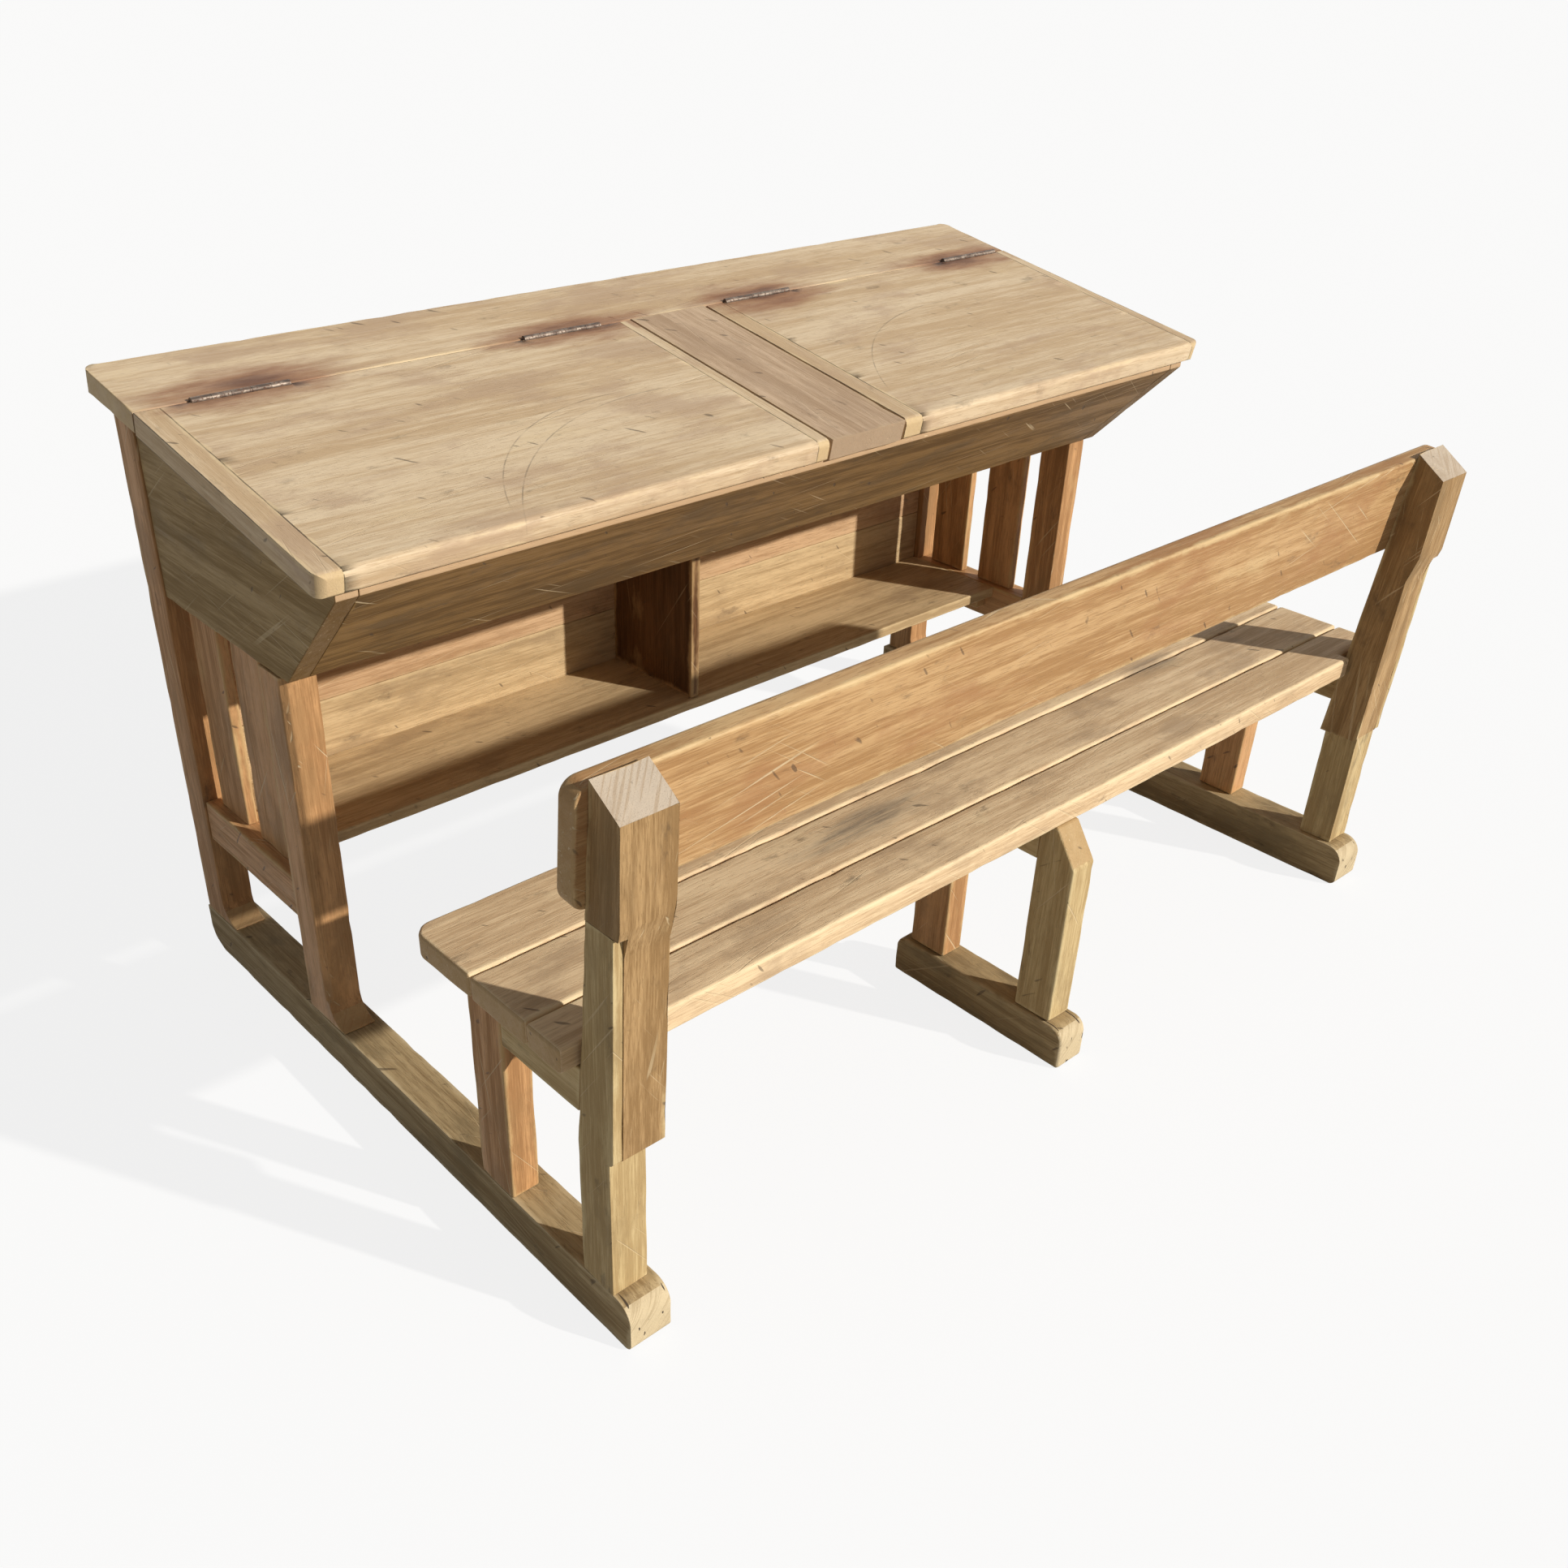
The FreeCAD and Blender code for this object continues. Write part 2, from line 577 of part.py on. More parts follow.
# End trestles and back supports of the bench
bearer_bottom = seat_bottom - size.bearer_height
for side in ("left", "right"):
    leg_x = side_start(side, frame_side, size.bench_leg_thickness)
    board(side + "_bench_front_leg", leg_x, front_leg_near, size.runner_height, size.bench_leg_thickness,
          size.front_leg_depth, seat_bottom - size.runner_height)
    bearer = outlined(side + "_seat_bearer",
                      [(support_front(bearer_bottom), bearer_bottom), (front_leg_near, bearer_bottom),
                       (front_leg_near, seat_bottom), (support_front(seat_bottom), seat_bottom)],
                      size.bench_leg_thickness)
    node(side + "_seat_bearer", stand(bearer, leg_x))

    leg = block(side + "_rear_leg_block", side_start(side, frame_side, size.rear_leg_thickness),
                bench_end + size.rear_leg_near, size.runner_height, size.rear_leg_thickness,
                size.rear_leg_depth, size.support_bottom - size.runner_height)
    tongue = outlined(side + "_rear_leg_tongue",
                      [(support_waist(size.support_bottom) + size.support_toe, size.support_bottom),
                       (support_front(size.support_bottom), size.support_bottom),
                       (support_front(size.tongue_top), size.tongue_top),
                       (support_waist(size.tongue_top) + size.tongue_recess, size.tongue_top),
                       (support_waist(toe_top) + size.tongue_recess, toe_top)], size.tongue_thickness)
    stand(tongue, side_start(side, frame_side, size.tongue_thickness))
    node(side + "_bench_rear_leg", fused(side + "_rear_leg_joined", [leg, tongue]))

    support = outlined(side + "_back_support",
                       [(support_waist(size.support_bottom) + size.support_toe, size.support_bottom),
                        (support_front(size.support_bottom), size.support_bottom),
                        (support_front(size.support_top), size.support_top),
                        (support_back(bevel_foot), bevel_foot),
                        (support_back(size.waist_top), size.waist_top),
                        (support_waist(size.waist_foot), size.waist_foot), (support_waist(toe_top), toe_top)],
                       size.support_width)
    stand(support, side_start(side, frame_side, size.support_width))
    lap_width = size.tongue_thickness + size.overrun
    lap = block(side + "_support_lap", side_start(side, frame_side + size.overrun, lap_width),
                bench_end - size.overrun, size.support_bottom - size.overrun, lap_width,
                size.top_back, size.tongue_top - size.support_bottom + size.overrun)
    node(side + "_back_support", cut(side + "_back_support_cut", support, [lap]))

# Middle trestle of the bench
middle_front = front_leg_near + size.front_leg_depth
middle_near = middle_front - size.middle_front_depth
middle_rear_front = size.middle_rear_near + size.middle_rear_depth
leg_x = size.middle_offset - size.middle_leg_thickness / 2
foot = outlined("middle_foot", [(0, 0), (size.foot_length, 0), (size.foot_length, size.foot_height),
                                (0, size.foot_height)], size.foot_width)
rounded(foot, size.foot_radius, 0, [(0, size.foot_height), (size.foot_length, size.foot_height)])
node("middle_foot", stand(foot, size.middle_offset - size.foot_width / 2))
board("middle_bench_front_leg", leg_x, middle_near, size.foot_height, size.middle_leg_thickness,
      size.middle_front_depth, seat_bottom - size.foot_height)
rear = outlined("middle_bench_rear_leg",
                [(size.middle_rear_near, size.foot_height), (middle_rear_front, size.foot_height),
                 (middle_rear_front, seat_bottom), (size.seat_back, seat_bottom),
                 (size.middle_rear_near, seat_bottom - size.middle_bevel_height)], size.middle_rear_thickness)
node("middle_bench_rear_leg", stand(rear, size.middle_offset - size.middle_rear_thickness / 2))
board("middle_seat_bearer", leg_x, middle_rear_front, bearer_bottom, size.middle_leg_thickness,
      middle_near - middle_rear_front, size.bearer_height)

# Backrest, drawn upright and leant against the desk side of the supports
backrest_length = (frame_side + size.backrest_overhang) * 2
backrest = outlined("backrest", [(0, 0), (backrest_length, 0), (backrest_length, size.backrest_thickness),
                                 (0, size.backrest_thickness)], size.backrest_height, "XY_Plane")
lean = FreeCAD.Rotation(TO_NEAR[0], size.support_lean.value)
backrest.Placement = FreeCAD.Placement(FreeCAD.Vector(), lean)
rounded(backrest, size.backrest_corner_radius, 1, [(0, 0), (0, size.backrest_height), (backrest_length, 0),
                                                   (backrest_length, size.backrest_height)])
rounded(backrest, size.backrest_radius, 0, [(size.backrest_thickness, 0),
                                            (size.backrest_thickness, size.backrest_height)])
bind(backrest, "Placement.Base.x", -backrest_length / 2)
bind(backrest, "Placement.Base.y", bench_end + support_front(size.backrest_bottom))
bind(backrest, "Placement.Base.z", size.backrest_bottom)
bind(backrest, "Placement.Rotation.Angle", size.support_lean)
node("backrest", backrest)

doc.recompute()
for item in doc.Objects:
    if "Invalid" in item.State or "Error" in item.State:
        raise RuntimeError(item.Label + " did not build")
for item in nodes:
    if item.Shape.isNull() or not item.Shape.isValid():
        raise RuntimeError(item.Label + " has no sound shape")
    item.Shape.exportStep(f"parts/{item.Label}.step")
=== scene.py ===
import json
import math
import random
from dataclasses import dataclass
from types import SimpleNamespace

import bmesh
import bpy
from mathutils import Matrix, Vector

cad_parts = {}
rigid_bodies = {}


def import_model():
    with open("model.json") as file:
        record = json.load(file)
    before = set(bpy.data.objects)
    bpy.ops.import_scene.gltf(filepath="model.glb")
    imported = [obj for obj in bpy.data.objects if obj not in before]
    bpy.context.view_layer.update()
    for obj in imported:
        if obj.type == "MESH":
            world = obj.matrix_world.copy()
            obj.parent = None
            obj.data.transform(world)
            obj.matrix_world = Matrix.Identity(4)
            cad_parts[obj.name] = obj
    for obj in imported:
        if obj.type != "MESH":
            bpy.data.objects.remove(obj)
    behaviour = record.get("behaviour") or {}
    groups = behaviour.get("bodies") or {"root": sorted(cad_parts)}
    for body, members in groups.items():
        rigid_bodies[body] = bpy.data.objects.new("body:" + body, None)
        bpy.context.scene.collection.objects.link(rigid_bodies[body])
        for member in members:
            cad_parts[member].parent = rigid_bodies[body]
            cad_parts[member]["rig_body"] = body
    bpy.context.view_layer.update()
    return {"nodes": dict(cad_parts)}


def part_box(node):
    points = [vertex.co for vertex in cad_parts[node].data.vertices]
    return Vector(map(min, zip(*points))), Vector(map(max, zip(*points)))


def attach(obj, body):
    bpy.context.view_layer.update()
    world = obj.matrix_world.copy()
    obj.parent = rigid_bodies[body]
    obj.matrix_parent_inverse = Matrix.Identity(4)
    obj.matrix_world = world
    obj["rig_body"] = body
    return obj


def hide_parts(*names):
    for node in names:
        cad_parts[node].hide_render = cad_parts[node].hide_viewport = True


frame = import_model()

MM = 0.001
ALONG_X, ALONG_Y, UPRIGHT = 0, 1, 2

# Slopes of the boards that don't stand square, in degrees about the length of the desk
TOP_SLOPE = 10
BACK_LEAN = 5
APRON_LEAN = 44.5


class Graph:
    """Short hands for building the nodes of one material or one tree."""

    def __init__(self, tree):
        self.tree = tree
        tree.nodes.clear()

    def add(self, kind, values=None, **settings):
        node = self.tree.nodes.new(kind)
        for setting, value in settings.items():
            setattr(node, setting, value)
        for socket, value in (values or {}).items():
            if isinstance(value, bpy.types.NodeSocket):
                self.tree.links.new(value, node.inputs[socket])
            else:
                node.inputs[socket].default_value = value
        return node

    def math(self, operation, *values):
        return self.add("ShaderNodeMath", dict(enumerate(values)), operation=operation).outputs[0]

    def vector(self, operation, *values):
        return self.add("ShaderNodeVectorMath", dict(enumerate(values)), operation=operation).outputs[0]

    def scaled(self, vector, along, across):
        """A board's coordinates with its grain drawn out along the board."""
        return self.vector("MULTIPLY", vector, (along, across, across))

    def noise(self, vector, detail=3.0, roughness=0.55, distortion=0.0):
        values = {"Vector": vector, "Scale": 1.0, "Detail": detail, "Roughness": roughness,
                  "Distortion": distortion}
        return self.add("ShaderNodeTexNoise", values).outputs["Fac"]

    def ramp(self, value, start, end, low=0.0, high=1.0):
        values = {"Value": value, "From Min": start, "From Max": end, "To Min": low, "To Max": high}
        return self.add("ShaderNodeMapRange", values, interpolation_type="SMOOTHSTEP").outputs["Result"]

    def mix(self, factor, first, second):
        """A colour between two: sockets 6 and 7 of the node take colours, and output 2 gives one."""
        node = self.add("ShaderNodeMix", data_type="RGBA")
        for number, value in ((0, factor), (6, first), (7, second)):
            if isinstance(value, bpy.types.NodeSocket):
                self.tree.links.new(value, node.inputs[number])
            else:
                node.inputs[number].default_value = (*value, 1.0)
        return node.outputs[2]

    def turned(self, vector, axis, angle):
        values = {"Vector": vector, "Axis": axis, "Angle": angle}
        return self.add("ShaderNodeVectorRotate", values).outputs[0]

    def attribute(self, name, output="Vector"):
        return self.add("ShaderNodeAttribute", attribute_name=name).outputs[output]

    def parts(self, vector):
        return self.add("ShaderNodeSeparateXYZ", {0: vector}).outputs

    def desk_spot(self):
        """A point's place on the whole desk."""
        return self.add("ShaderNodeTexCoord").outputs["Object"]

    def surface(self, colour, rough, relief):
        """Finish a material with one shader, and give that shader back."""
        values = {"Base Color": colour, "Roughness": rough, "Normal": relief}
        shader = self.add("ShaderNodeBsdfPrincipled", values)
        self.add("ShaderNodeOutputMaterial", {"Surface": shader.outputs[0]})
        return shader


def new_material(name):
    material = bpy.data.materials.new(name)
    material.use_nodes = True
    return material, Graph(material.node_tree)


# Colours of the old wood, as linear shares of red, green and blue. The third on the next line is a painted
# highlight for the front faces of lips
TAN, CREAM, LIP_HIGHLIGHT = (0.50, 0.33, 0.16), (0.74, 0.58, 0.36), (0.60, 0.41, 0.245)
SOOT, PENCIL = (0.055, 0.038, 0.026), (0.13, 0.10, 0.075)
SEAT_SOIL = (0.13, 0.105, 0.085)
RUST_HALO, RUST_CORE = (0.30, 0.135, 0.07), (0.115, 0.052, 0.035)

# How fine each pattern of the grain is, per metre along and across the board
BAND_SCALES, STREAK_SCALES, FIBRE_SCALES = (1.3, 17), (5, 110), (26, 620)
CLOUD_SCALES, GRIME_SCALES, PORE_SCALES = (7, 15), (17, 38), (60, 1100)
KNOCK_SCALES, SPLIT_SCALES = (6, 9), (7, 75, 190)
# How much bands, streaks and fibres each count in the tone of the wood
BAND_SHARE, STREAK_SHARE, FIBRE_SHARE = 0.36, 0.36, 0.28
TONE_SPREAD = 0.085
PATCHES = 0.7

# Straight marks: angle to the grain in radians, length and width in metres, and a share, higher for fewer
SCRATCHES = ((0.6, 0.13, 0.0028, 0.76), (-0.2, 0.22, 0.003, 0.75))
DENTS = (0.9, 0.022, 0.006, 0.80)
SAW_ANGLE, SAW_PITCH, SAW_LENGTH = 0.8, 2.2 * MM, 60 * MM
SPLIT_REACH, SPLIT_FULL = 90 * MM, 5 * MM
RAGGED_RIM = 18 * MM
JOINT_REACH, JOINT_FULL = 1.0 * MM, 0.4 * MM

# Rust round the hinges and soil on the seat: middle and reach, in metres from the middle of the desk
RUST_SPOTS = ((-0.480, 0.297, 0.140, 0.046), (-0.112, 0.288, 0.135, 0.042), (0.160, 0.282, 0.120, 0.052),
              (0.510, 0.284, 0.122, 0.040))
SEAT_SPOTS = ((-0.180, -0.250, 0.105, 0.030), (0.330, -0.215, 0.060, 0.022))
FEATHER_SCALES, FEATHER = (12, 42, 42), 1.5
# Compass arcs on the lids: middle and radius
ARCS = ((-0.180, -0.090, 0.232), (-0.130, -0.170, 0.302), (0.360, -0.080, 0.268))
ARC_WIDTH = 1.0 * MM


@dataclass
class Finish:
    """The colours of one kind of board, and how much it is worn and marked."""

    name: str
    light: tuple
    dark: tuple
    patch: tuple
    edge: tuple
    end: tuple = TAN
    contrast: float = 1.0
    edge_reach: float = 5
    scratches: float = 0.4
    end_splits: float = 0.0
    seam: float = 0.0
    gloss: float = 0.6
    soil: float = 0.5
    lid: bool = False
    seat: bool = False


def board_fields(graph):
    """What a board's mesh tells of a point: its place, its distance to the rims and its kind of face."""
    place, extent = graph.attribute("place"), graph.attribute("extent")
    inside = graph.vector("MINIMUM", place, graph.vector("SUBTRACT", extent, place))
    along, across, through = graph.parts(inside)[:3]
    least, most = graph.math("MINIMUM", across, through), graph.math("MAXIMUM", across, through)
    height_share = graph.math("DIVIDE", graph.parts(place)[2], graph.parts(extent)[2])
    return SimpleNamespace(
        spot=graph.vector("ADD", place, graph.attribute("seed")),
        along=along,
        rim=graph.math("MAXIMUM", least, graph.math("MINIMUM", most, along)),
        upper=graph.ramp(height_share, 0.35, 0.65),
        sawn=graph.attribute("sawn", "Fac"),
        painted_highlight=graph.attribute("painted_highlight", "Fac"),
        narrow=graph.attribute("narrow", "Fac"),
    )


def grain_fields(graph, spot):
    """The patterns of a board: tone along the grain, streaks, fibres, pores, clouds and grime."""
    bands = graph.noise(graph.scaled(spot, *BAND_SCALES), detail=4, distortion=0.9)
    streaks = graph.noise(graph.scaled(spot, *STREAK_SCALES), detail=5, roughness=0.62)
    fibres = graph.noise(graph.scaled(spot, *FIBRE_SCALES), detail=3)
    tone = graph.math("MULTIPLY", bands, BAND_SHARE)
    tone = graph.math("MULTIPLY_ADD", streaks, STREAK_SHARE, tone)
    tone = graph.math("MULTIPLY_ADD", fibres, FIBRE_SHARE, tone)
    return SimpleNamespace(
        tone=tone,
        streaks=streaks,
        fibres=fibres,
        clouds=graph.noise(graph.scaled(spot, *CLOUD_SCALES), detail=6, roughness=0.64),
        grime=graph.noise(graph.scaled(spot, *GRIME_SCALES), detail=5, roughness=0.66),
        pores=graph.ramp(graph.noise(graph.scaled(spot, *PORE_SCALES), detail=1), 0.60, 0.70),
    )


def dashes(graph, spot, angle, length, width, share):
    """Short straight marks that all lie about one way."""
    turned = graph.turned(spot, (0, 0, 1), angle)
    marks = graph.noise(graph.vector("MULTIPLY", turned, (1 / length, 1 / width, 1 / width)), detail=0)
    return graph.ramp(marks, share, share + 0.07)


def laid_flat(graph, board):
    """A board's coordinates with the depth below the face last, on its narrow faces as on its wide ones."""
    along, across, through = graph.parts(board.spot)[:3]
    on_edge = graph.add("ShaderNodeCombineXYZ", {0: along, 1: through, 2: across}).outputs[0]
    values = {0: board.narrow, 4: board.spot, 5: on_edge}
    return graph.add("ShaderNodeMix", values, data_type="VECTOR").outputs[1]


def mark_fields(graph, finish, board):
    """Splits at the ends of a board, long scratches on it and short dents."""
    splits = graph.noise(graph.vector("MULTIPLY", board.spot, SPLIT_SCALES), detail=1)
    near_end = graph.ramp(board.along, SPLIT_REACH, SPLIT_FULL, 0.0, finish.end_splits)
    flat = laid_flat(graph, board)
    scratches = graph.math("MAXIMUM", *[dashes(graph, flat, *marks) for marks in SCRATCHES])
    knocked = graph.ramp(graph.noise(graph.scaled(board.spot, *KNOCK_SCALES), detail=2), 0.42, 0.6)
    return SimpleNamespace(
        splits=graph.math("MULTIPLY", graph.ramp(splits, 0.70, 0.73), near_end),
        scratches=graph.math("MULTIPLY", scratches, knocked),
        dents=graph.math("MULTIPLY", dashes(graph, flat, *DENTS), 0.6),
    )


def grain_colour(graph, finish, grain):
    """Light and dark wood along the grain, with stained, bleached and soiled patches and dark pores."""
    spread = TONE_SPREAD / finish.contrast
    colour = graph.mix(graph.ramp(grain.tone, 0.5 - spread, 0.5 + spread), finish.dark, finish.light)
    stained = graph.math("MULTIPLY", graph.ramp(grain.clouds, 0.49, 0.66), PATCHES)
    colour = graph.mix(stained, colour, finish.patch)
    bleached = graph.math("MULTIPLY", graph.ramp(grain.clouds, 0.42, 0.30), PATCHES / 2)
    colour = graph.mix(bleached, colour, finish.edge)
    soiled = graph.math("MULTIPLY", graph.ramp(grain.grime, 0.60, 0.74), finish.soil)
    colour = graph.mix(soiled, colour, SOOT)
    return graph.mix(graph.math("MULTIPLY", grain.pores, 0.6), colour, finish.dark)


def worn_rims(graph, finish, board, grain, colour):
    """Edges worn light, and on the shelf divider a painted highlight along its lit front edge, with a broken
    dark line where a board meets the next.
    """
    ragged = graph.math("MULTIPLY_ADD", graph.math("SUBTRACT", grain.grime, 0.5), RAGGED_RIM, board.rim)
    # Light edge band: worn edges, and on the shelf divider a painted highlight of its lit front edge
    wear_and_highlight = graph.math("MULTIPLY", graph.ramp(ragged, finish.edge_reach * MM, 0), 0.75)
    colour = graph.mix(wear_and_highlight, colour, finish.edge)
    joint = graph.ramp(board.rim, JOINT_REACH, JOINT_FULL, 0.0, finish.seam)
    joint = graph.math("MULTIPLY", joint, graph.ramp(grain.grime, 0.34, 0.56, 0.3))
    return graph.mix(joint, colour, SOOT)


def sawn_ends(graph, finish, board, grain, colour):
    """Fine marks of a saw across the ends of a board, and a painted highlight that makes the front faces of a
    lip look lit.
    """
    turned = graph.turned(board.spot, (1, 0, 0), SAW_ANGLE)
    lines = graph.noise(graph.vector("MULTIPLY", turned, (0, 1 / SAW_PITCH, 1 / SAW_LENGTH)), detail=1)
    marks = graph.math("MAXIMUM", graph.ramp(lines, 0.5, 0.64), graph.ramp(grain.clouds, 0.48, 0.66))
    end = graph.mix(graph.math("MULTIPLY", marks, 0.35), finish.end, finish.dark)
    colour = graph.mix(graph.math("MULTIPLY", board.sawn, 0.85), colour, end)
    # Painted highlight: front faces of lips are made lighter, as if lit
    return graph.mix(graph.math("MULTIPLY", board.painted_highlight, 0.85), colour, LIP_HIGHLIGHT)


def marked(graph, finish, marks, colour):
    colour = graph.mix(marks.splits, colour, SOOT)
    colour = graph.mix(graph.math("MULTIPLY", marks.scratches, finish.scratches), colour, CREAM)
    return graph.mix(marks.dents, colour, SOOT)


def plan_distance(graph, spot, x, y, reach_x=1.0, reach_y=1.0):
    """Way and distance from a point in plan, in shares of the reach each way."""
    away = graph.vector("SUBTRACT", spot, (x, y, 0))
    away = graph.vector("MULTIPLY", away, (1 / reach_x, 1 / reach_y, 0))
    return away, graph.add("ShaderNodeVectorMath", {0: away}, operation="LENGTH").outputs["Value"]


def soaked(graph, spots):
    """How far inside one of the stains a point lies: under 1 inside, with a rim feathered along the grain."""
    spot = graph.desk_spot()
    nearest = None
    for place in spots:
        distance = plan_distance(graph, spot, *place)[1]
        nearest = distance if nearest is None else graph.math("MINIMUM", nearest, distance)
    feather = graph.noise(graph.vector("MULTIPLY", spot, FEATHER_SCALES), detail=5, roughness=0.6)
    return graph.math("MULTIPLY_ADD", graph.math("SUBTRACT", feather, 0.5), FEATHER, nearest)


def drawn_arcs(graph, breaks):
    """Faint compass arcs, rubbed away in places."""
    spot = graph.desk_spot()
    marks = None
    for x, y, radius in ARCS:
        away, distance = plan_distance(graph, spot, x, y)
        off = graph.math("ABSOLUTE", graph.math("SUBTRACT", distance, radius))
        swing = graph.math("MULTIPLY", graph.ramp(graph.parts(away)[0], radius / 10, 0),
                           graph.ramp(graph.parts(away)[1], radius / 4, radius / 2))
        mark = graph.math("MULTIPLY", graph.ramp(off, ARC_WIDTH, ARC_WIDTH / 3), swing)
        marks = mark if marks is None else graph.math("MAXIMUM", marks, mark)
    return graph.math("MULTIPLY", marks, graph.ramp(breaks, 0.38, 0.58, 0.08, 0.5))


def lid_stains(graph, board, grain, colour):
    """Rust round the hinges and compass arcs, on the upper face alone."""
    depth = soaked(graph, RUST_SPOTS)
    halo = graph.math("MULTIPLY", graph.ramp(depth, 1.1, 0.35, 0.0, 0.78), board.upper)
    core = graph.math("MULTIPLY", graph.ramp(depth, 0.55, 0.0, 0.0, 0.8), board.upper)
    colour = graph.mix(core, graph.mix(halo, colour, RUST_HALO), RUST_CORE)
    return graph.mix(graph.math("MULTIPLY", drawn_arcs(graph, grain.grime), board.upper), colour, PENCIL)


def seat_stains(graph, board, grain, colour):
    """Soil where pupils sit, on the upper face alone."""
    depth = graph.ramp(soaked(graph, SEAT_SPOTS), 1.1, 0.1, 0.0, 0.75)
    flecks = graph.math("MULTIPLY", graph.ramp(grain.streaks, 0.38, 0.6, 0.35, 1.0), board.upper)
    return graph.mix(graph.math("MULTIPLY", depth, flecks), colour, SEAT_SOIL)


def wood_relief(graph, grain, marks):
    """Raised grain and uneven boards, with pores, scratches, dents and splits sunk in."""
    height = graph.math("MULTIPLY", grain.streaks, 0.5)
    height = graph.math("MULTIPLY_ADD", grain.fibres, 0.3, height)
    height = graph.math("MULTIPLY_ADD", grain.clouds, 0.9, height)
    height = graph.math("MULTIPLY_ADD", grain.pores, -0.3, height)
    height = graph.math("MULTIPLY_ADD", graph.math("MAXIMUM", marks.scratches, marks.dents), -0.5, height)
    height = graph.math("MULTIPLY_ADD", marks.splits, -1.0, height)
    values = {"Strength": 0.6, "Distance": 1.0 * MM, "Height": height}
    return graph.add("ShaderNodeBump", values).outputs[0]


def wood(finish):
    """The material of one kind of old board."""
    material, graph = new_material(finish.name)
    board = board_fields(graph)
    grain = grain_fields(graph, board.spot)
    marks = mark_fields(graph, finish, board)
    colour = grain_colour(graph, finish, grain)
    colour = worn_rims(graph, finish, board, grain, colour)
    colour = sawn_ends(graph, finish, board, grain, colour)
    colour = marked(graph, finish, marks, colour)
    if finish.lid:
        colour = lid_stains(graph, board, grain, colour)
    if finish.seat:
        colour = seat_stains(graph, board, grain, colour)
    rough = graph.ramp(grain.tone, 0.38, 0.62, finish.gloss + 0.12, finish.gloss - 0.08)
    shader = graph.surface(colour, rough, wood_relief(graph, grain, marks))
    shader.inputs["Specular IOR Level"].default_value = 0.2
    return material


def aged_steel(name, bright, dark, rust):
    """Hinge steel worn bright on the crown, darkened and rusted elsewhere."""
    material, graph = new_material(name)
    spot = graph.desk_spot()
    wear = graph.noise(graph.vector("MULTIPLY", spot, (90, 260, 260)), detail=4)
    pits = graph.noise(graph.vector("MULTIPLY", spot, (420, 420, 420)), detail=3)
    rusty = graph.ramp(pits, 0.5, 0.66)
    colour = graph.mix(graph.ramp(wear, 0.4, 0.62), dark, bright)
    colour = graph.mix(graph.math("MULTIPLY", rusty, 0.75), colour, rust)
    values = {"Strength": 0.4, "Distance": 0.3 * MM, "Height": pits}
    relief = graph.add("ShaderNodeBump", values).outputs[0]
    shader = graph.surface(colour, graph.ramp(rusty, 0, 1, 0.5, 0.85), relief)
    graph.tree.links.new(graph.ramp(rusty, 0, 1, 0.6, 0.1), shader.inputs["Metallic"])
    return material


